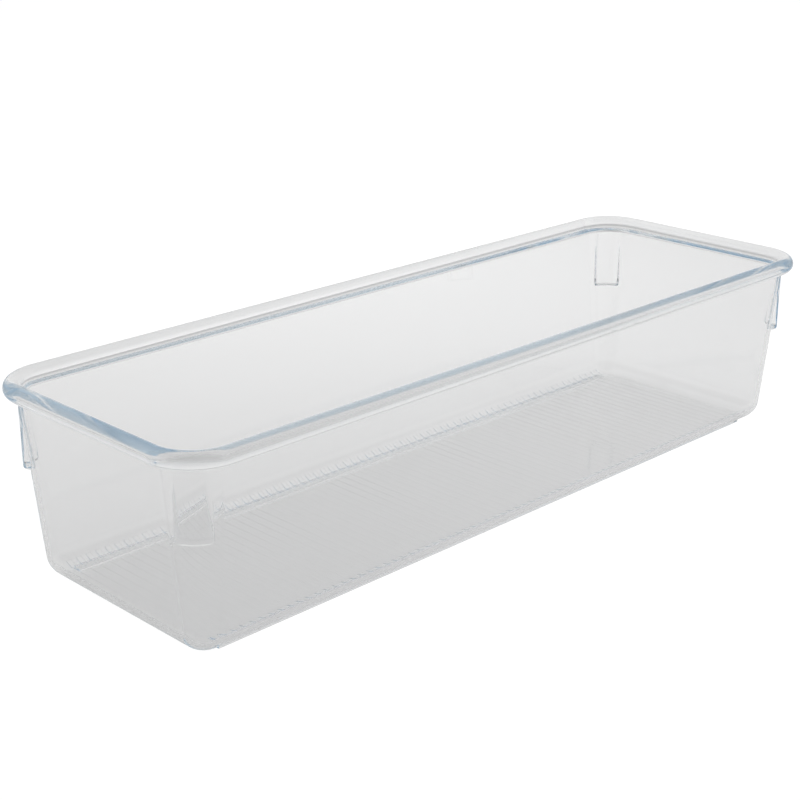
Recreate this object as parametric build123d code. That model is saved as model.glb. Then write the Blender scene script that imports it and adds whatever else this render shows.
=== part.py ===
from build123d import *
from math import acos, asin, cos, degrees, radians, sin, sqrt
import os

# A long, narrow, open-topped bin moulded in clear plastic. One cross-section, drawn as distance
# out from a vertical corner axis and height above the table, runs straight along each side and
# turns about the axis at each corner. +X runs along the bin, -Y is its front, +Z is up, and the
# origin is on the table under the middle of the bin.

# Overall size, in millimetres
RIM_LENGTH = 300.0
RIM_WIDTH = 100.0
HEIGHT = 67.2

# Wall and floor, moulded at one thickness; the draft is in degrees from upright
WALL = 1.9
WALL_DRAFT = 5.1
EDGE_RADIUS = 8.0
FLOOR_CORNER_RADIUS = 0.5

# Round bead along the rim, flush with the inside of the wall, and the blend under it
BEAD_DIAMETER = 5.7
BEAD_FILLET = 0.8

# Rails under the long sides: reach is outwards and lap inwards from the flat floor's edge
FOOT_HEIGHT = 1.0
FOOT_REACH = 2.5
FOOT_LAP = 1.0
FOOT_END_INSET = 2.5

# Fine ribs across the floor
RIB_PITCH = 3.64
RIB_WIDTH = 1.82
RIB_HEIGHT = 0.2

# Wedge-shaped lugs on the corners, which stop stacked bins from jamming; the angle is in degrees
LUG_HEIGHT = 22.5
LUG_ANGLE = 60.0

# Directions in the section: up along the wall, and square to it towards the outside
draft = radians(WALL_DRAFT)
up_wall = Vector(sin(draft), cos(draft))
off_wall = Vector(cos(draft), -sin(draft))

# Centre of the curve from floor to wall; depths in the wall are counted from it
edge_centre = Vector(FLOOR_CORNER_RADIUS, FOOT_HEIGHT + EDGE_RADIUS)
inner_depth = EDGE_RADIUS - WALL
outer_depth = EDGE_RADIUS


def on_wall(depth, rise):
    """A point of the section, out through the wall and up along it from the edge curve's centre."""
    return edge_centre + off_wall * depth + up_wall * rise


# The bead touches the inner face, and its top is the top of the bin
bead_radius = BEAD_DIAMETER / 2
bead_depth = inner_depth + bead_radius
bead_rise = (HEIGHT - bead_radius - edge_centre.Y + bead_depth * sin(draft)) / cos(draft)
bead_centre = on_wall(bead_depth, bead_rise)

# The blend touches the wall's outer face and the bead; wall and rim meet where it begins
fillet_depth = outer_depth + BEAD_FILLET
fillet_to_bead = bead_radius + BEAD_FILLET
fillet_offset = fillet_depth - bead_depth
seam_rise = bead_rise - sqrt(fillet_to_bead**2 - fillet_offset**2)
fillet_turn = degrees(acos(fillet_offset / fillet_to_bead))

# The four corner axes
rim_reach = bead_centre.X + bead_radius
corner_x = RIM_LENGTH / 2 - rim_reach
corner_y = RIM_WIDTH / 2 - rim_reach

# Sides and corners in order round the bin, a quarter turn apart. A side has its distance out and half
# its straight length, and a corner, which begins where the side of its row ends, has its axis.
SIDES = {
    "right_end": (corner_x, corner_y),
    "back": (corner_y, corner_x),
    "left_end": (corner_x, corner_y),
    "front": (corner_y, corner_x),
}
CORNERS = {
    "back_right": (corner_x, corner_y),
    "back_left": (-corner_x, corner_y),
    "front_left": (-corner_x, -corner_y),
    "front_right": (corner_x, -corner_y),
}


def turn_to(table, name):
    """The turn, in degrees, that brings the first entry of a table round to this one."""
    return 360 / len(table) * list(table).index(name)


def upright(*edges):
    """The face inside a closed outline, stood up so that the outline's Y is height."""
    return Plane.XZ * make_face(edges)


def wall_section():
    """Curve up from the floor, and the drafted wall as far as the rim."""
    outside = CenterArc(edge_centre, outer_depth, -90, 90 - WALL_DRAFT)
    inside = CenterArc(edge_centre, inner_depth, -90, 90 - WALL_DRAFT)
    outer_top = on_wall(outer_depth, seam_rise)
    inner_top = on_wall(inner_depth, seam_rise)
    return upright(
        outside,
        Line(outside @ 1, outer_top),
        Line(outer_top, inner_top),
        Line(inner_top, inside @ 1),
        inside,
        Line(inside @ 0, outside @ 0),
    )


def rim_section():
    """Round bead standing outside the wall, blended into its outer face."""
    inner_side = 180 - WALL_DRAFT
    bead = CenterArc(bead_centre, bead_radius, inner_side, -180 - fillet_turn)
    blend = CenterArc(on_wall(fillet_depth, seam_rise), BEAD_FILLET, inner_side - fillet_turn, fillet_turn)
    inner_foot = on_wall(inner_depth, seam_rise)
    return upright(
        bead,
        blend,
        Line(blend @ 1, inner_foot),
        Line(inner_foot, bead @ 0),
    )


def lug_section():
    """Wedge with an upright outer face, from the rim's blend down to a flat ledge."""
    tip = on_wall(outer_depth, seam_rise)
    ledge_edge = tip - Vector(0, LUG_HEIGHT)
    ledge_root = on_wall(outer_depth, seam_rise - LUG_HEIGHT / cos(draft))
    return upright(
        Line(tip, ledge_edge),
        Line(ledge_edge, ledge_root),
        Line(ledge_root, tip),
    )


def foot_section():
    """Rail whose top follows the flat floor and the start of the edge curve."""
    seat = CenterArc(edge_centre, EDGE_RADIUS, -90, degrees(asin(FOOT_REACH / EDGE_RADIUS)))
    outer_x = FLOOR_CORNER_RADIUS + FOOT_REACH
    inner_x = FLOOR_CORNER_RADIUS - FOOT_LAP
    return upright(
        seat,
        Line(seat @ 1, (outer_x, 0)),
        Line((outer_x, 0), (inner_x, 0)),
        Line((inner_x, 0), (inner_x, FOOT_HEIGHT)),
        Line((inner_x, FOOT_HEIGHT), seat @ 0),
    )


def along_side(section, side, end_inset=0.0):
    """The section run straight along one side, between its two corner axes."""
    distance, half_length = SIDES[side]
    bar = extrude(section, amount=half_length - end_inset, both=True)
    return Rot(Z=turn_to(SIDES, side)) * Pos(X=distance) * bar


def around_corner(section, corner, angle=90.0):
    """The section turned about one corner axis, centred on the corner's diagonal."""
    start = turn_to(CORNERS, corner) + (90 - angle) / 2
    swept = revolve(section, Axis.Z, revolution_arc=angle)
    return Pos(*CORNERS[corner]) * Rot(Z=start) * swept


def floor_panel():
    """Flat floor between the edge curves."""
    edge = 2 * FLOOR_CORNER_RADIUS
    outline = RectangleRounded(2 * corner_x + edge, 2 * corner_y + edge, FLOOR_CORNER_RADIUS)
    return Pos(Z=FOOT_HEIGHT) * extrude(outline, amount=WALL)


def floor_ribs():
    """Row of separate ribs that cross the flat floor from front to back."""
    count = int((2 * corner_x - RIB_WIDTH) / RIB_PITCH) + 1
    rib = Box(
        RIB_WIDTH,
        2 * (corner_y + FLOOR_CORNER_RADIUS),
        RIB_HEIGHT,
        align=(Align.CENTER, Align.CENTER, Align.MIN),
    )
    middle = (count - 1) / 2
    floor_top = FOOT_HEIGHT + WALL
    return Compound([Pos((index - middle) * RIB_PITCH, 0, floor_top) * rib for index in range(count)])


nodes = {"floor_panel": floor_panel(), "floor_ribs": floor_ribs()}
for side in SIDES:
    nodes[f"{side}_wall"] = along_side(wall_section(), side)
    nodes[f"rim_{side}"] = along_side(rim_section(), side)
for corner in CORNERS:
    nodes[f"corner_{corner}"] = around_corner(wall_section(), corner)
    nodes[f"rim_corner_{corner}"] = around_corner(rim_section(), corner)
    nodes[f"nesting_lug_{corner}"] = around_corner(lug_section(), corner, LUG_ANGLE)
for side in ("front", "back"):
    nodes[f"foot_rail_{side}"] = along_side(foot_section(), side, FOOT_END_INSET)

os.makedirs("parts", exist_ok=True)
for name, solid in nodes.items():
    export_step(solid, f"parts/{name}.step")
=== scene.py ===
"""A clear moulded organizer bin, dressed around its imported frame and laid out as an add-on."""

from math import acos, asin, cos, pi, radians, sin, sqrt

import bpy
from mathutils import Matrix, Vector


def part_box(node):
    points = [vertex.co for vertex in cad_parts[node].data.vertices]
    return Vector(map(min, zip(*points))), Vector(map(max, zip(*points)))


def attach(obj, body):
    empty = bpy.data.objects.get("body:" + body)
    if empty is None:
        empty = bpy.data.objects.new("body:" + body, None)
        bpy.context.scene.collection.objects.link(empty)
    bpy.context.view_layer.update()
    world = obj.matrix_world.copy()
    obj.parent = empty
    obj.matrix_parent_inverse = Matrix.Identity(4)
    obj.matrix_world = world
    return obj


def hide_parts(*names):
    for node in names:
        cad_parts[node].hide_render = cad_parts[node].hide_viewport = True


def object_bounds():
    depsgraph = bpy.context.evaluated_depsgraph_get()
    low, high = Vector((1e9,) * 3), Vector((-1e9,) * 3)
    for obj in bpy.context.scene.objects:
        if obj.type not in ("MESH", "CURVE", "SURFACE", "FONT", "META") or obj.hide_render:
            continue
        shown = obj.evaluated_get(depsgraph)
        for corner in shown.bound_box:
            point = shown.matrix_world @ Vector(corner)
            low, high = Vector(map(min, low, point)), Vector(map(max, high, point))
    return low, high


bl_info = {
    "name": "Clear Organizer Bin",
    "version": (1, 0, 0),
    "blender": (4, 5, 0),
    "location": "View3D > Sidebar > Bin",
    "description": "Builds a clear moulded organizer bin in its studio",
    "category": "Object",
}

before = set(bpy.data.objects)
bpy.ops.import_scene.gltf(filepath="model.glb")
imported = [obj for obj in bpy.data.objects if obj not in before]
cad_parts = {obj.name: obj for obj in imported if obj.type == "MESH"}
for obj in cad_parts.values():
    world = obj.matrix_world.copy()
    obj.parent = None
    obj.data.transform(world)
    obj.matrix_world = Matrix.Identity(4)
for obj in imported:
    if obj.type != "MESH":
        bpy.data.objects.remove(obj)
CAD_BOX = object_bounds()

# Corners of the frame's solids that the sizes below are read from
FLOOR_LOW, FLOOR_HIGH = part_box("floor_panel")
RAIL_LOW, RAIL_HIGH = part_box("foot_rail_back")
TURN_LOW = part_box("rim_corner_back_right")[0]
LUG_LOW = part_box("nesting_lug_back_right")[0]
RIBS_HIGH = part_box("floor_ribs")[1]

BODY = "root"
QUARTER = pi / 2
WELD_DISTANCE = 1e-6

# How often a ray may be bent or mirrored by the plastic, and how often it may pass straight through
MOST_BENDS = 256
MOST_PASSES = 32


# Properties

def length(name, description, default):
    """A property that holds a length in metres."""
    return bpy.props.FloatProperty(
        name=name,
        description=description,
        default=default,
        min=0.0,
        precision=6,
        subtype="DISTANCE",
        unit="LENGTH",
    )


def angle(name, description, default):
    """A property that holds an angle in radians."""
    return bpy.props.FloatProperty(name=name, description=description, default=default, subtype="ANGLE")


def number(name, description, default, unit="NONE"):
    """A property that holds a number, with or without a unit."""
    return bpy.props.FloatProperty(
        name=name, description=description, default=default, precision=4, unit=unit
    )


def stretch(name, description, default):
    """A property that holds where a change begins and where it ends."""
    return bpy.props.FloatVectorProperty(name=name, description=description, default=default, size=2)


def colour(name, description, default):
    """A property that holds a linear colour."""
    return bpy.props.FloatVectorProperty(
        name=name, description=description, default=default, size=3, subtype="COLOR"
    )


def place(name, description, default):
    """A property that holds a point, in metres."""
    return bpy.props.FloatVectorProperty(
        name=name, description=description, default=default, size=3, subtype="TRANSLATION", unit="LENGTH"
    )


def steps(name, description, default):
    """A property that holds a count of facets."""
    return bpy.props.IntProperty(name=name, description=description, default=default, min=1)


class BinSizes(bpy.types.PropertyGroup):
    """Sizes of the moulding, most of them read from the frame."""

    corner_x: length("Corner X", "From the bin's middle to a corner axis, along it", TURN_LOW.x)
    corner_y: length("Corner Y", "From the bin's middle to a corner axis, across it", TURN_LOW.y)
    top: length("Height", "From the table to the top of the rim", round(CAD_BOX[1].z, 4))
    wall: length("Wall", "Thickness of the walls and the floor", FLOOR_HIGH.z - FLOOR_LOW.z)
    floor_under: length("Floor Underside", "From the table to the underside of the floor", FLOOR_LOW.z)
    floor_corner: length("Floor Corner", "Radius of the flat floor's corners", FLOOR_HIGH.x - TURN_LOW.x)
    draft: angle("Draft", "Lean of the walls away from upright", radians(5.1))
    edge_radius: length("Edge Radius", "Outer radius of the curve from floor to wall", 0.008)
    bead: length("Bead", "Diameter of the round rim bead", 0.0057)
    bead_fillet: length("Bead Fillet", "Radius of the blend under the bead", 0.0008)
    arc_steps: steps("Arc Steps", "Facets in a quarter turn", 24)
    crease: angle("Crease", "Bend above which an edge is shaded as sharp", radians(32))


class LugSizes(bpy.types.PropertyGroup):
    """Sizes of the wedge-shaped nesting lugs on the corners."""

    ledge: length("Ledge", "Height of the lugs' flat lower ledge above the table", LUG_LOW.z)
    span: angle("Span", "Angle that each lug covers round its corner", radians(60))
    corner: length("Corner", "Rounding of the lugs' upright edges", 0.0024)
    edge: length("Edge", "Rounding of the lugs' lower edge", 0.0012)


class RailSizes(bpy.types.PropertyGroup):
    """Sizes of the foot rails under the long sides."""

    half_length: length("Half Length", "From the middle of the bin to a rail's end", RAIL_HIGH.x)
    inner: length("Inner Face", "From the middle of the bin to a rail's inner face", RAIL_LOW.y)
    outer: length("Outer Face", "From the middle of the bin to a rail's outer face", RAIL_HIGH.y)
    edge: length("Edge", "Rounding of the rails' edges", 0.0005)
    edge_steps: steps("Edge Steps", "Facets in a rounded edge", 6)
    edge_bend: angle("Edge Bend", "Bend above which an edge is rounded", radians(40))


class RibSizes(bpy.types.PropertyGroup):
    """Sizes of the fine ribs across the floor."""

    pitch: length("Pitch", "From one rib to the next", 0.00364)
    width: length("Width", "Width of a rib", 0.00182)
    height: length("Height", "Height of a rib above the floor", 0.000015)
    lift: length("Lift", "How much further a rib stands out on the edge curves", 0.0002)
    flank: length("Flank", "Width over which a rib's side rises", 0.0005)
    flank_steps: steps("Flank Steps", "Facets in a rib's side", 5)
    climb: angle("Climb", "Turn up the edge curve at which a rib ends", radians(38))
    sink: length("Sink", "Depth that a rib's sides start under the floor's skin", 0.000008)
    first: length("First", "From the middle of the bin to the outer side of the end ribs", RIBS_HIGH.x)


class PlasticFinish(bpy.types.PropertyGroup):
    """Look of the clear plastic."""

    body: colour("Body Colour", "Colour that long ways through the plastic take on", (0.0, 0.55, 0.9))
    density: number("Density", "Absorption per metre", 1.3)
    ior: number("IOR", "Bending of light at the surface", 1.53)
    polish: number("Polish", "Roughness of the moulded surface", 0.02)
    see_through: number("See-Through", "Share of a lamp's light that passes one surface", 0.9)
    ripple: number("Ripple", "Strength of the soft ripples that moulding leaves", 0.06)
    ripple_depth: length("Ripple Depth", "Depth of those ripples", 0.001)
    ripple_scale: number("Ripple Scale", "Fineness of those ripples", 22.0)
    smear: number("Smear", "Roughness that smears add to the polish at most", 0.02)
    smear_scale: number("Smear Scale", "Fineness of those smears", 60.0)


class StudioSettings(bpy.types.PropertyGroup):
    """Camera, floor and lights."""

    camera_place: place("Camera Place", "Place of the camera", (-0.3808, -0.3632, 0.2266))
    camera_turn: angle("Camera Turn", "Direction of the camera round the bin", radians(-44.68))
    camera_height: angle("Camera Height", "Angle at which the camera looks down", radians(20.16))
    lens: number("Lens", "Focal length in millimetres", 72.36, "CAMERA")
    nearest: length("Nearest", "Distance from the camera at which it begins to see", 0.01)
    paper: number("Paper", "Paleness of the floor's paper", 0.82)
    paper_gap: length("Paper Gap", "From the bin's feet down to the paper", 0.0001)
    paper_reach: length("Paper Reach", "From the middle of the paper to its edges", 3.0)
    white: number("White", "Light that the camera sees the paper give off", 0.93)
    shade: number("Shade", "Paleness of the paper's shading beside that white", 0.17)
    white_share: number("White Share", "Share of that white which gloss and clear plastic show", 0.2)
    horizon: number("Horizon", "Brightness of the room where it meets the floor", 0.58)
    walls: number("Walls", "Brightness of the room's lit walls", 0.77)
    ceiling: number("Ceiling", "Brightness of the room over its lit walls", 0.17)
    wall_foot: number("Wall Foot", "Height at which the walls are fully lit, as a sine", 0.2)
    far_top: stretch("Far Top", "Heights between which the far wall darkens, as sines", (0.91, 0.97))
    near_top: stretch("Near Top", "Heights between which the near wall darkens, as sines", (0.28, 0.53))
    room_turn: angle("Room Turn", "Direction of the room's far wall, from +X", radians(43.6))
    far_edge: stretch("Far Edge", "Cosines from there at which the near wall joins it", (0.05, 0.3))
    softbox: length("Softbox", "Side of each softbox", 0.4)
    back_place: place("Back Place", "Place of the softbox behind the bin", (0.279, 0.266, 0.46))
    back_watts: number("Back Power", "Power of the softbox behind the bin, in watts", 0.84, "POWER")
    left_place: place("Left Place", "Place of the softbox to the left of it", (0.139, 0.472, 0.344))
    left_watts: number("Left Power", "Power of the softbox to the left, in watts", 0.76, "POWER")
    right_place: place("Right Place", "Place of the softbox to the right", (0.207, -0.217, 0.52))
    right_watts: number("Right Power", "Power of the softbox to the right, in watts", 0.45, "POWER")


# Node trees

class Value:
    """An output of a node, with arithmetic that adds Math nodes."""

    def __init__(self, tree, socket):
        self.tree = tree
        self.socket = socket

    def math(self, operation, *others):
        inputs = dict(enumerate((self, *others)))
        return self.tree.add("ShaderNodeMath", {"operation": operation}, inputs)

    def swapped(self, operation, other):
        return self.tree.add("ShaderNodeMath", {"operation": operation}, {0: other, 1: self})

    def __add__(self, other):
        return self.math("ADD", other)

    def __sub__(self, other):
        return self.math("SUBTRACT", other)

    def __mul__(self, other):
        return self.math("MULTIPLY", other)

    def __rsub__(self, other):
        return self.swapped("SUBTRACT", other)

    __radd__ = __add__
    __rmul__ = __mul__


class Tree:
    """A node tree that is filled one node at a time."""

    def __init__(self, tree):
        self.tree = tree
        tree.nodes.clear()

    def add(self, kind, settings=None, inputs=None, output=0):
        """Adds a node, sets it up, feeds its sockets and returns one of its outputs, if it has any."""
        node = self.tree.nodes.new(kind)
        for key, value in (settings or {}).items():
            if key == "stops":
                self.set_stops(node.mapping, value)
            else:
                setattr(node, key, value)
        for key, value in (inputs or {}).items():
            sources = value if isinstance(value, list) else [value]
            for source in sources:
                self.feed(self.find(node.inputs, key), source)
        return Value(self, self.find(node.outputs, output)) if node.outputs else None

    def ray(self, kind):
        """Whether a ray of light is of this kind."""
        return self.add("ShaderNodeLightPath", {}, {}, f"Is {kind} Ray")

    @staticmethod
    def set_stops(mapping, stops):
        """Runs a curve straight from one level to the next, each at its own place from 0 to 1."""
        points = mapping.curves[0].points
        while len(points) < len(stops):
            points.new(0.5, 0.5)
        for point, stop in zip(points, stops.items()):
            point.location = stop
            point.handle_type = "VECTOR"
        mapping.update()

    def feed(self, socket, source):
        if isinstance(source, Value):
            self.tree.links.new(source.socket, socket)
        else:
            socket.default_value = source

    @staticmethod
    def find(sockets, key):
        """The socket with this number, identifier or name."""
        if isinstance(key, int):
            return sockets[key]
        return next(s for s in sockets if s.identifier == key or (s.name == key and s.enabled))


class ShapeTree(Tree):
    """A geometry tree with named inputs, evaluated into a plain mesh."""

    def __init__(self, name):
        super().__init__(bpy.data.node_groups.new(name, "GeometryNodeTree"))
        self.settings = {}
        self.new_socket("Geometry", "OUTPUT", "Geometry")

    def new_socket(self, name, way, kind):
        return self.tree.interface.new_socket(name=name, in_out=way, socket_type=f"NodeSocket{kind}")

    def input(self, name, kind, value):
        """A named input of the tree, and the value that the modifier gives it."""
        socket = self.new_socket(name, "INPUT", kind)
        self.settings[socket.identifier] = value
        return self.add("NodeGroupInput", {}, {}, socket.identifier)

    def object_shape(self, name, thing):
        """The geometry of an object that the tree takes as an input."""
        own_place = {"transform_space": "ORIGINAL"}
        chosen = {"Object": self.input(name, "Object", thing)}
        return self.add("GeometryNodeObjectInfo", own_place, chosen, "Geometry")

    def vector(self, x=0.0, y=0.0, z=0.0):
        return self.add("ShaderNodeCombineXYZ", {}, {"X": x, "Y": y, "Z": z})

    def moved(self, shape, x=0.0, y=0.0, z=0.0):
        """A shape carried by these distances."""
        by = self.vector(x, y, z)
        return self.add("GeometryNodeTransform", {}, {"Geometry": shape, "Translation": by})

    def swept(self, path, section, capped):
        """A section carried upright along a path, with or without a face at each end."""
        upright = self.add("GeometryNodeSetCurveNormal", {"mode": "Z_UP"}, {"Curve": path})
        sockets = {"Curve": upright, "Profile Curve": section, "Fill Caps": capped}
        return self.add("GeometryNodeCurveToMesh", {}, sockets)

    def combined(self, operation, shapes):
        """Closed shapes joined into one, or cut down to what they share."""
        settings = {"operation": operation, "solver": "MANIFOLD"}
        return self.add("GeometryNodeMeshBoolean", settings, {"Mesh 2": shapes})

    def closed_sweep(self, path, profile, low, high):
        """A section swept round a closed path, with flat faces inside the path at two heights."""
        weld = self.input("Weld Distance", "Float", WELD_DISTANCE)
        edge = self.object_shape("Path", path)
        sides = self.swept(edge, self.object_shape("Section", profile), False)
        flat = self.add("GeometryNodeFillCurve", {"mode": "NGONS"}, {"Curve": edge})
        turned = self.add("GeometryNodeFlipFaces", {}, {"Mesh": flat})
        pieces = [sides, self.moved(flat, z=high), self.moved(turned, z=low)]
        parts = self.add("GeometryNodeJoinGeometry", {}, {"Geometry": pieces})
        return self.add("GeometryNodeMergeByDistance", {}, {"Geometry": parts, "Distance": weld})

    def mesh(self, name, shape):
        """Ends the tree at this shape and returns what it makes as a new object with a plain mesh."""
        whole = self.add("GeometryNodeRealizeInstances", {}, {"Geometry": shape})
        sockets = {"Geometry": whole, "Material": clear_plastic()}
        dressed = self.add("GeometryNodeSetMaterial", {}, sockets)
        self.add("NodeGroupOutput", {}, {"Geometry": dressed})
        thing = new_object(name, bpy.data.meshes.new(name))
        modifier = thing.modifiers.new(name, "NODES")
        modifier.node_group = self.tree
        for identifier, value in self.settings.items():
            modifier[identifier] = value
        plain_mesh(thing)
        return thing


# Objects

def new_object(name, data):
    """A new object in the scene, at the origin."""
    thing = bpy.data.objects.new(name, data)
    bpy.context.scene.collection.objects.link(thing)
    return thing


def plain_mesh(thing):
    """Replaces an object's mesh and modifiers by the mesh that they make."""
    bpy.context.view_layer.update()
    made = bpy.data.meshes.new_from_object(thing.evaluated_get(bpy.context.evaluated_depsgraph_get()))
    made.name = thing.name
    thing.modifiers.clear()
    thing.data = made


def round_edges(thing, width, facets, bend):
    """Rounds the edges that bend more than this and keeps the result as the object's mesh."""
    bevel = thing.modifiers.new("round edges", "BEVEL")
    bevel.width = width
    bevel.segments = facets
    bevel.limit_method = "ANGLE"
    bevel.angle_limit = bend
    plain_mesh(thing)


def discard(*things):
    for thing in things:
        bpy.data.objects.remove(thing)


# The section that runs round the bin

class Section:
    """Wall and rim in section: out from a corner axis, and up from the table."""

    def __init__(self, sizes):
        self.draft = sizes.draft
        self.steps = sizes.arc_steps
        self.outer = sizes.edge_radius
        self.inner = sizes.edge_radius - sizes.wall
        self.edge_centre = Vector((sizes.floor_corner, sizes.floor_under + sizes.edge_radius))
        self.off_wall = Vector((cos(self.draft), -sin(self.draft)))
        self.up_wall = Vector((sin(self.draft), cos(self.draft)))
        self.bead_radius = sizes.bead / 2
        bead_depth = self.inner + self.bead_radius
        bead_drop = sizes.top - self.bead_radius - self.edge_centre.y + bead_depth * sin(self.draft)
        bead_rise = bead_drop / cos(self.draft)
        self.bead_centre = self.at(bead_depth, bead_rise)
        self.fillet_radius = sizes.bead_fillet
        fillet_depth = self.outer + self.fillet_radius
        reach = self.bead_radius + self.fillet_radius
        self.seam = bead_rise - sqrt(reach**2 - (fillet_depth - bead_depth) ** 2)
        self.fillet_centre = self.at(fillet_depth, self.seam)
        self.fillet_turn = acos((fillet_depth - bead_depth) / reach)

    def at(self, depth, rise):
        """A point out through the wall and up along it, from the centre of the edge curve."""
        return self.edge_centre + self.off_wall * depth + self.up_wall * rise

    def arc(self, centre, radius, start, sweep):
        """Points along an arc, as fine as its turn needs."""
        count = max(2, round(self.steps * abs(sweep) / QUARTER))
        turns = [start + sweep * index / count for index in range(count + 1)]
        return [centre + radius * Vector((cos(turn), sin(turn))) for turn in turns]

    def outline(self):
        """From the floor inside, up, over the bead and down to the floor's underside."""
        inner_side = pi - self.draft
        edge_turn = QUARTER - self.draft
        blend_start = inner_side - self.fillet_turn
        inside = self.arc(self.edge_centre, self.inner, -QUARTER, edge_turn)
        bead = self.arc(self.bead_centre, self.bead_radius, inner_side, -pi - self.fillet_turn)
        blend = self.arc(self.fillet_centre, self.fillet_radius, blend_start, self.fillet_turn)
        outside = self.arc(self.edge_centre, self.outer, -self.draft, -edge_turn)
        return [*inside, *bead, *blend[1:], *outside]


def poly_curve(name, points, cyclic):
    """A curve object of straight runs through points."""
    curve = bpy.data.curves.new(name, "CURVE")
    curve.dimensions = "3D"
    spline = curve.splines.new("POLY")
    spline.points.add(len(points) - 1)
    for knot, point in zip(spline.points, points):
        knot.co = (*point, 1.0)
    spline.use_cyclic_u = cyclic
    return new_object(name, curve)


def profile_curve(name, outline, offset, cyclic=False):
    """A section as the curve that a sweep carries: X is out from the path, and Y is down."""
    return poly_curve(name, [(p.x - offset, -p.y, 0.0) for p in outline], cyclic)


def floor_edge_path(sizes):
    """The edge of the flat floor, counter-clockwise from above."""
    points = []
    for quarter in range(4):
        axis = Matrix.Rotation(quarter * QUARTER, 2) @ Vector((1, 1))
        axis = Vector((round(axis.x) * sizes.corner_x, round(axis.y) * sizes.corner_y))
        for step in range(sizes.arc_steps + 1):
            turn = quarter * QUARTER + QUARTER * step / sizes.arc_steps
            points.append((*(axis + sizes.floor_corner * Vector((cos(turn), sin(turn)))), 0.0))
    return poly_curve("floor_edge", points, True)


# Materials

def grey(level):
    """A colour without hue, from 0 for black to 1 for white."""
    return (level, level, level, 1.0)


def clear_plastic():
    """Gloss plastic with a faint blue body colour, which lets lamps through to what lies behind it."""
    name = "water_clear_plastic"
    if name in bpy.data.materials:
        return bpy.data.materials[name]
    finish = bpy.context.scene.plastic_finish
    material = bpy.data.materials.new(name)
    material.use_nodes = True
    tree = Tree(material.node_tree)
    spot = tree.add("ShaderNodeTexCoord", {}, {}, "Object")
    broad = {"Vector": spot, "Scale": finish.ripple_scale, "Detail": 2.0}
    fine = {"Vector": spot, "Scale": finish.smear_scale, "Detail": 4.0}
    flow, smear = (tree.add("ShaderNodeTexNoise", {}, noise, "Fac") for noise in (broad, fine))
    ripple = tree.add(
        "ShaderNodeBump",
        {},
        {"Strength": finish.ripple, "Distance": finish.ripple_depth, "Height": flow},
    )
    plastic = tree.add(
        "ShaderNodeBsdfPrincipled",
        {},
        {
            "Base Color": grey(1.0),
            "Roughness": finish.polish + finish.smear * smear,
            "IOR": finish.ior,
            "Transmission Weight": 1.0,
            "Normal": ripple,
        },
    )
    lighting = tree.ray("Shadow").math("MAXIMUM", tree.ray("Diffuse"))
    open_way = tree.add("ShaderNodeBsdfTransparent", {}, {"Color": grey(finish.see_through)})
    surface = tree.add("ShaderNodeMixShader", {}, {0: lighting, 1: plastic, 2: open_way})
    body = {"Color": (*finish.body, 1.0), "Density": finish.density}
    tint = tree.add("ShaderNodeVolumeAbsorption", {}, body)
    tree.add("ShaderNodeOutputMaterial", {}, {"Surface": surface, "Volume": tint})
    return material


def pale_floor():
    """Matt paper that the camera sees as white, with the shadow kept."""
    studio = bpy.context.scene.studio_settings
    material = bpy.data.materials.new("pale_floor")
    material.use_nodes = True
    tree = Tree(material.node_tree)
    paper = tree.add("ShaderNodeBsdfDiffuse", {}, {"Color": grey(studio.paper)})
    glow = tree.add("ShaderNodeEmission", {}, {"Strength": studio.white})
    faint = tree.add("ShaderNodeBsdfDiffuse", {}, {"Color": grey(studio.shade)})
    white = tree.add("ShaderNodeAddShader", {}, {0: glow, 1: faint})
    through_bin = (tree.ray("Glossy") + tree.ray("Transmission")).math("MINIMUM", 1.0)
    seen = tree.ray("Camera") + through_bin * studio.white_share
    mixed = tree.add("ShaderNodeMixShader", {}, {0: seen, 1: paper, 2: white})
    tree.add("ShaderNodeOutputMaterial", {}, {"Surface": mixed})
    return material


# Operators

class BIN_OT_shell(bpy.types.Operator):
    """Sweeps the wall and rim round the floor and closes the floor"""

    bl_idname = "bin.shell"
    bl_label = "Mould Shell"

    def execute(self, context):
        sizes = context.scene.bin_sizes
        path = floor_edge_path(sizes)
        profile = profile_curve("wall_section", Section(sizes).outline(), sizes.floor_corner)
        tree = ShapeTree("Bin Shell")
        under = tree.input("Floor Underside", "Float", sizes.floor_under)
        wall = tree.input("Floor Thickness", "Float", sizes.wall)
        closed = tree.closed_sweep(path, profile, under, under + wall)
        tree.mesh("shell", closed)
        discard(path, profile)
        return {"FINISHED"}


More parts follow.
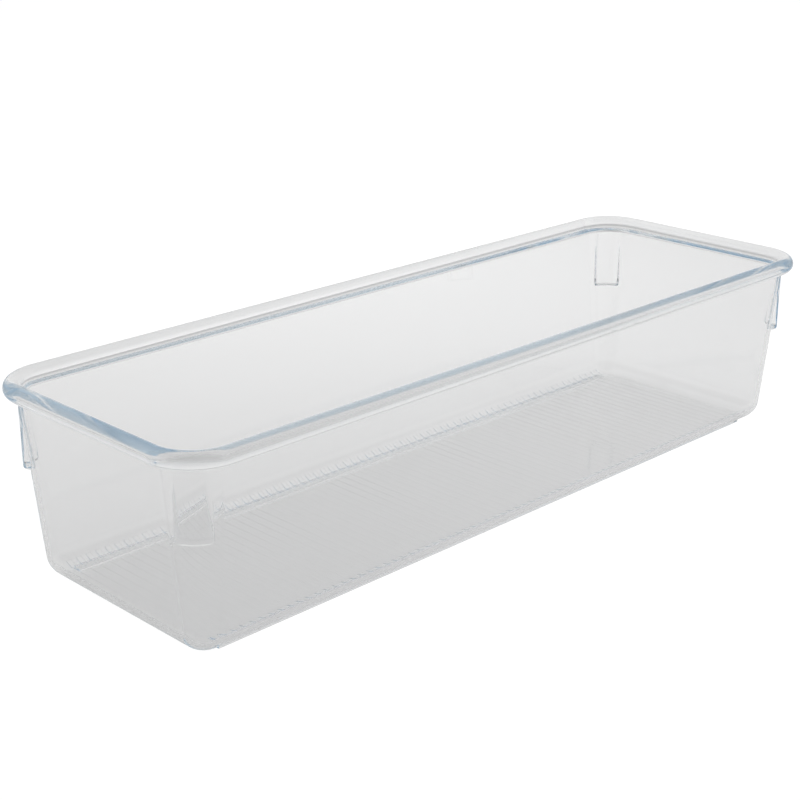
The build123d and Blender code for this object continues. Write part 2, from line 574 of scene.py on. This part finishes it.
class BIN_OT_lugs(bpy.types.Operator):
    """Stands a lug with rounded ends on each corner, from the rim's blend down to a flat ledge"""

    bl_idname = "bin.lugs"
    bl_label = "Add Nesting Lugs"

    # Span of the room that trims a lug, as a share of the lug's own span, and how far a lug's plan runs
    # in from its ends before it closes, as shares of its reach
    ROOM_SPAN = 1.5
    PLAN_DEPTHS = (0.5, 0.6)

    def execute(self, context):
        sizes = context.scene.bin_sizes
        lugs = context.scene.lug_sizes
        section = Section(sizes)
        tip = section.at(section.outer, section.seam)
        lug_top = tip.y + sizes.wall
        path = poly_curve("lug_path", self.plan(section, lugs, tip.x), True)
        profile = profile_curve("lug_section", self.side(section, lugs, lug_top), 0.0)
        room = profile_curve("lug_room", self.room(sizes, section, lugs), tip.x, cyclic=True)
        tree = ShapeTree("Nesting Lugs")
        radius = tree.input("Radius", "Float", tip.x)
        span = tree.input("Room Span", "Float", self.ROOM_SPAN * lugs.span)
        corner_x = tree.input("Corner X", "Float", sizes.corner_x)
        corner_y = tree.input("Corner Y", "Float", sizes.corner_y)
        ledge = tree.input("Ledge", "Float", lugs.ledge)
        top = tree.input("Top", "Float", lug_top)
        block = tree.closed_sweep(path, profile, ledge, top)
        arc = tree.add(
            "GeometryNodeCurveArc",
            {"mode": "RADIUS"},
            {
                "Resolution": sizes.arc_steps,
                "Radius": radius,
                "Start Angle": span * -0.5,
                "Sweep Angle": span,
            },
        )
        outside = tree.swept(arc, tree.object_shape("Room", room), True)
        lug = tree.combined("INTERSECT", [block, outside])
        corners = tree.add(
            "GeometryNodeCurvePrimitiveQuadrilateral",
            {"mode": "RECTANGLE"},
            {"Width": corner_x * 2.0, "Height": corner_y * 2.0},
        )
        spot = tree.add("GeometryNodeInputPosition")
        x, y = (tree.add("ShaderNodeSeparateXYZ", {}, {0: spot}, axis).math("SIGN") for axis in "XY")
        facing = tree.vector(z=y.math("ARCTAN2", x))
        copies = tree.add(
            "GeometryNodeInstanceOnPoints", {}, {"Points": corners, "Instance": lug, "Rotation": facing}
        )
        tree.mesh("lugs", copies)
        discard(path, profile, room)
        return {"FINISHED"}

    def plan(self, section, lugs, reach):
        """A lug's flat ledge from above: an arc with rounded ends, closed well inside the wall."""
        turn = lugs.span / 2
        inset = asin(lugs.corner / (reach - lugs.corner))
        centre = (reach - lugs.corner) * Vector((cos(turn - inset), sin(turn - inset)))
        face = section.arc(Vector((0.0, 0.0)), reach - lugs.edge, 0.0, turn - inset)[:-1]
        bend = section.arc(centre, lugs.corner - lugs.edge, turn - inset, QUARTER + inset)
        inward = -Vector((cos(turn), sin(turn)))
        ends = [bend[-1] + inward * depth * reach for depth in self.PLAN_DEPTHS]
        half = [*face, *bend, *ends]
        other_half = [Vector((p.x, -p.y)) for p in reversed(half[1:])]
        return [(*p, 0.0) for p in other_half + half]

    def side(self, section, lugs, top):
        """From over the ledge's edge, down a lug's upright face and round to the ledge."""
        round_edge = section.arc(Vector((0.0, lugs.ledge + lugs.edge)), lugs.edge, 0.0, -QUARTER)
        return [Vector((0.0, top)), Vector((lugs.edge, top)), *round_edge]

    def room(self, sizes, section, lugs):
        """What lies outside the middle of the wall, from a little under a lug to a little over it."""
        near = section.outer - sizes.wall / 2
        far = section.outer + 2 * sizes.wall
        high = section.seam + 2 * sizes.wall
        low = (lugs.ledge - section.edge_centre.y) / cos(sizes.draft) - sizes.wall
        return [section.at(*corner) for corner in ((near, low), (near, high), (far, high), (far, low))]


class BIN_OT_rails(bpy.types.Operator):
    """Lays a low rail under each long side"""

    bl_idname = "bin.rails"
    bl_label = "Add Foot Rails"

    def execute(self, context):
        sizes = context.scene.bin_sizes
        rails = context.scene.rail_sizes
        tree = ShapeTree("Foot Rails")
        run = tree.input("Length", "Float", 2 * rails.half_length)
        width = tree.input("Width", "Float", rails.outer - rails.inner)
        middle = tree.input("Middle", "Float", (rails.outer + rails.inner) / 2)
        height = tree.input("Height", "Float", sizes.floor_under + sizes.wall / 2)
        bar = tree.add("GeometryNodeMeshCube", {}, {"Size": tree.vector(run, width, height)}, "Mesh")
        pair = [tree.moved(bar, y=middle * side, z=height * 0.5) for side in (-1.0, 1.0)]
        made = tree.mesh("rails", tree.add("GeometryNodeJoinGeometry", {}, {"Geometry": pair}))
        round_edges(made, rails.edge, rails.edge_steps, rails.edge_bend)
        return {"FINISHED"}


class BIN_OT_ribs(bpy.types.Operator):
    """Lays fine ribs across the floor, evenly spaced along the bin"""

    bl_idname = "bin.ribs"
    bl_label = "Add Floor Ribs"

    def execute(self, context):
        sizes = context.scene.bin_sizes
        ribs = context.scene.rib_sizes
        path = poly_curve("rib_path", self.course(sizes, ribs), False)
        profile = profile_curve("rib_section", self.outline(ribs, sizes.wall / 3), 0.0, cyclic=True)
        count = round((2 * ribs.first - ribs.width) / ribs.pitch) + 1
        tree = ShapeTree("Floor Ribs")
        pitch = tree.input("Pitch", "Float", ribs.pitch)
        total = tree.input("Count", "Int", count)
        course = tree.object_shape("Course", path)
        bar = tree.swept(course, tree.object_shape("Rib", profile), True)
        row = tree.add(
            "GeometryNodeMeshLine",
            {"mode": "OFFSET"},
            {
                "Count": total,
                "Start Location": tree.vector(x=pitch * (total - 1.0) * -0.5),
                "Offset": tree.vector(x=pitch),
            },
        )
        copies = tree.add("GeometryNodeInstanceOnPoints", {}, {"Points": row, "Instance": bar})
        tree.mesh("ribs", copies)
        discard(path, profile)
        return {"FINISHED"}

    def course(self, sizes, ribs):
        """Across the floor's upper face and, standing further out, a little way up the edge curves."""
        section = Section(sizes)
        floor_end = section.edge_centre - Vector((0.0, section.inner))
        curve = section.arc(section.edge_centre, section.inner - ribs.lift, -QUARTER, ribs.climb)[1:]
        back = [p + Vector((sizes.corner_y, 0.0)) for p in (floor_end, *curve)]
        return [(0.0, -p.x, p.y) for p in reversed(back)] + [(0.0, p.x, p.y) for p in back]

    def outline(self, ribs, root):
        """A rib in section, with sides that rise softly from just under the skin."""
        half = ribs.width / 2
        rise = ribs.height + ribs.sink
        side = []
        for step in range(ribs.flank_steps + 1):
            share = step / ribs.flank_steps
            risen = rise * (1 - cos(pi * share)) / 2
            side.append(Vector((ribs.flank * share - half, risen - ribs.sink)))
        left = [Vector((-half, -root)), *side]
        return left + [Vector((-p.x, p.y)) for p in reversed(left)]


class BIN_OT_weld(bpy.types.Operator):
    """Joins shell, lugs, rails and ribs into the one clear moulding that the bin is"""

    bl_idname = "bin.weld"
    bl_label = "Join Moulding"

    def execute(self, context):
        zones = [bpy.data.objects[name] for name in ("shell", "lugs", "rails", "ribs")]
        tree = ShapeTree("Clear Moulding")
        crease = tree.input("Crease Angle", "Float", context.scene.bin_sizes.crease)
        union = tree.combined("UNION", [tree.object_shape(zone.name.title(), zone) for zone in zones])
        smooth = tree.add(
            "GeometryNodeSetShadeSmooth", {"domain": "FACE"}, {"Geometry": union, "Shade Smooth": True}
        )
        bend = tree.add("GeometryNodeInputMeshEdgeAngle", {}, {}, "Unsigned Angle")
        sharp = tree.add(
            "GeometryNodeSetShadeSmooth",
            {"domain": "EDGE"},
            {"Geometry": smooth, "Selection": bend.math("GREATER_THAN", crease), "Shade Smooth": False},
        )
        moulding = tree.mesh("clear_moulding", sharp)
        discard(*zones)
        if not len(moulding.data.polygons):
            raise RuntimeError("the zones of the bin did not join")
        normals = moulding.modifiers.new("flat walls", "WEIGHTED_NORMAL")
        normals.keep_sharp = True
        plain_mesh(moulding)
        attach(moulding, BODY)
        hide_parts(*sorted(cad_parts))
        return {"FINISHED"}


class BIN_OT_stage(bpy.types.Operator):
    """Sets the floor, the lights, the surroundings and the camera"""

    bl_idname = "bin.stage"
    bl_label = "Set Stage"

    def execute(self, context):
        studio = context.scene.studio_settings
        self.lay_floor(studio)
        self.hang_light("back_softbox", studio.back_place, studio.softbox, studio.back_watts)
        self.hang_light("left_softbox", studio.left_place, studio.softbox, studio.left_watts)
        self.hang_light("right_softbox", studio.right_place, studio.softbox, studio.right_watts)
        self.surround(context.scene, studio)
        self.aim_camera(context.scene, studio)
        context.scene.view_settings.view_transform = "Standard"
        cycles = context.scene.cycles
        cycles.max_bounces = MOST_BENDS
        cycles.glossy_bounces = MOST_BENDS
        cycles.transmission_bounces = MOST_BENDS
        cycles.transparent_max_bounces = MOST_PASSES
        return {"FINISHED"}

    def lay_floor(self, studio):
        half = studio.paper_reach
        z = -studio.paper_gap
        mesh = bpy.data.meshes.new("floor")
        corners = [(-half, -half, z), (half, -half, z), (half, half, z), (-half, half, z)]
        mesh.from_pydata(corners, [], [(0, 1, 2, 3)])
        mesh.materials.append(pale_floor())
        new_object("floor", mesh)

    def hang_light(self, name, spot, size, watts):
        lamp = bpy.data.lights.new(name, "AREA")
        lamp.size = size
        lamp.energy = watts
        light = new_object(name, lamp)
        light.visible_camera = False
        light.visible_glossy = False
        light.visible_transmission = False
        light.location = spot
        light.rotation_euler = (-Vector(spot)).to_track_quat("-Z", "Y").to_euler()

    def surround(self, scene, studio):
        world = bpy.data.worlds.new("studio")
        scene.world = world
        world.use_nodes = True
        tree = Tree(world.node_tree)
        direction = tree.add("ShaderNodeTexCoord", {}, {}, "Generated")
        x, y, z = (tree.add("ShaderNodeSeparateXYZ", {}, {0: direction}, axis) for axis in "XYZ")
        begin, end = studio.far_edge
        behind = tree.add(
            "ShaderNodeMapRange",
            {"interpolation_type": "SMOOTHSTEP"},
            {
                "Value": x * cos(studio.room_turn) + y * sin(studio.room_turn),
                "From Min": begin,
                "From Max": end,
            },
        )
        far, near = (self.wall(tree, studio, z, top) for top in (studio.far_top, studio.near_top))
        light = near + (far - near) * behind
        strength = light + tree.ray("Camera") * (1.0 - light)
        back = tree.add("ShaderNodeBackground", {}, {"Strength": strength, "Color": grey(1.0)})
        tree.add("ShaderNodeOutputWorld", {}, {"Surface": back})

    def wall(self, tree, studio, height, top):
        """Brightness of a wall of the room, from the horizon up to the ceiling."""
        stops = {
            0.0: studio.horizon,
            studio.wall_foot: studio.walls,
            top[0]: studio.walls,
            top[1]: studio.ceiling,
            1.0: studio.ceiling,
        }
        return tree.add("ShaderNodeFloatCurve", {"stops": stops}, {"Value": height})

    def aim_camera(self, scene, studio):
        data = bpy.data.cameras.new("camera")
        data.lens = studio.lens
        data.clip_start = studio.nearest
        camera = new_object("camera", data)
        camera.location = studio.camera_place
        camera.rotation_euler = (QUARTER - studio.camera_height, 0.0, studio.camera_turn)
        scene.camera = camera


# Panel and registration

class BIN_PT_panel(bpy.types.Panel):
    """Steps that build the bin, in order"""

    bl_idname = "BIN_PT_panel"
    bl_label = "Clear Organizer Bin"
    bl_space_type = "VIEW_3D"
    bl_region_type = "UI"
    bl_category = "Bin"

    def draw(self, context):
        for operator in BUILD_ORDER:
            self.layout.operator(operator.bl_idname)


PROPERTY_GROUPS = {
    "bin_sizes": BinSizes,
    "lug_sizes": LugSizes,
    "rail_sizes": RailSizes,
    "rib_sizes": RibSizes,
    "plastic_finish": PlasticFinish,
    "studio_settings": StudioSettings,
}
BUILD_ORDER = (BIN_OT_shell, BIN_OT_lugs, BIN_OT_rails, BIN_OT_ribs, BIN_OT_weld, BIN_OT_stage)


def register():
    for name, group in PROPERTY_GROUPS.items():
        bpy.utils.register_class(group)
        setattr(bpy.types.Scene, name, bpy.props.PointerProperty(type=group))
    for operator in BUILD_ORDER:
        bpy.utils.register_class(operator)
    bpy.utils.register_class(BIN_PT_panel)


def unregister():
    bpy.utils.unregister_class(BIN_PT_panel)
    for operator in reversed(BUILD_ORDER):
        bpy.utils.unregister_class(operator)
    for name, group in reversed(PROPERTY_GROUPS.items()):
        delattr(bpy.types.Scene, name)
        bpy.utils.unregister_class(group)


def main():
    register()
    for operator in BUILD_ORDER:
        group, action = operator.bl_idname.split(".")
        getattr(getattr(bpy.ops, group), action)()


if __name__ == "__main__":
    main()
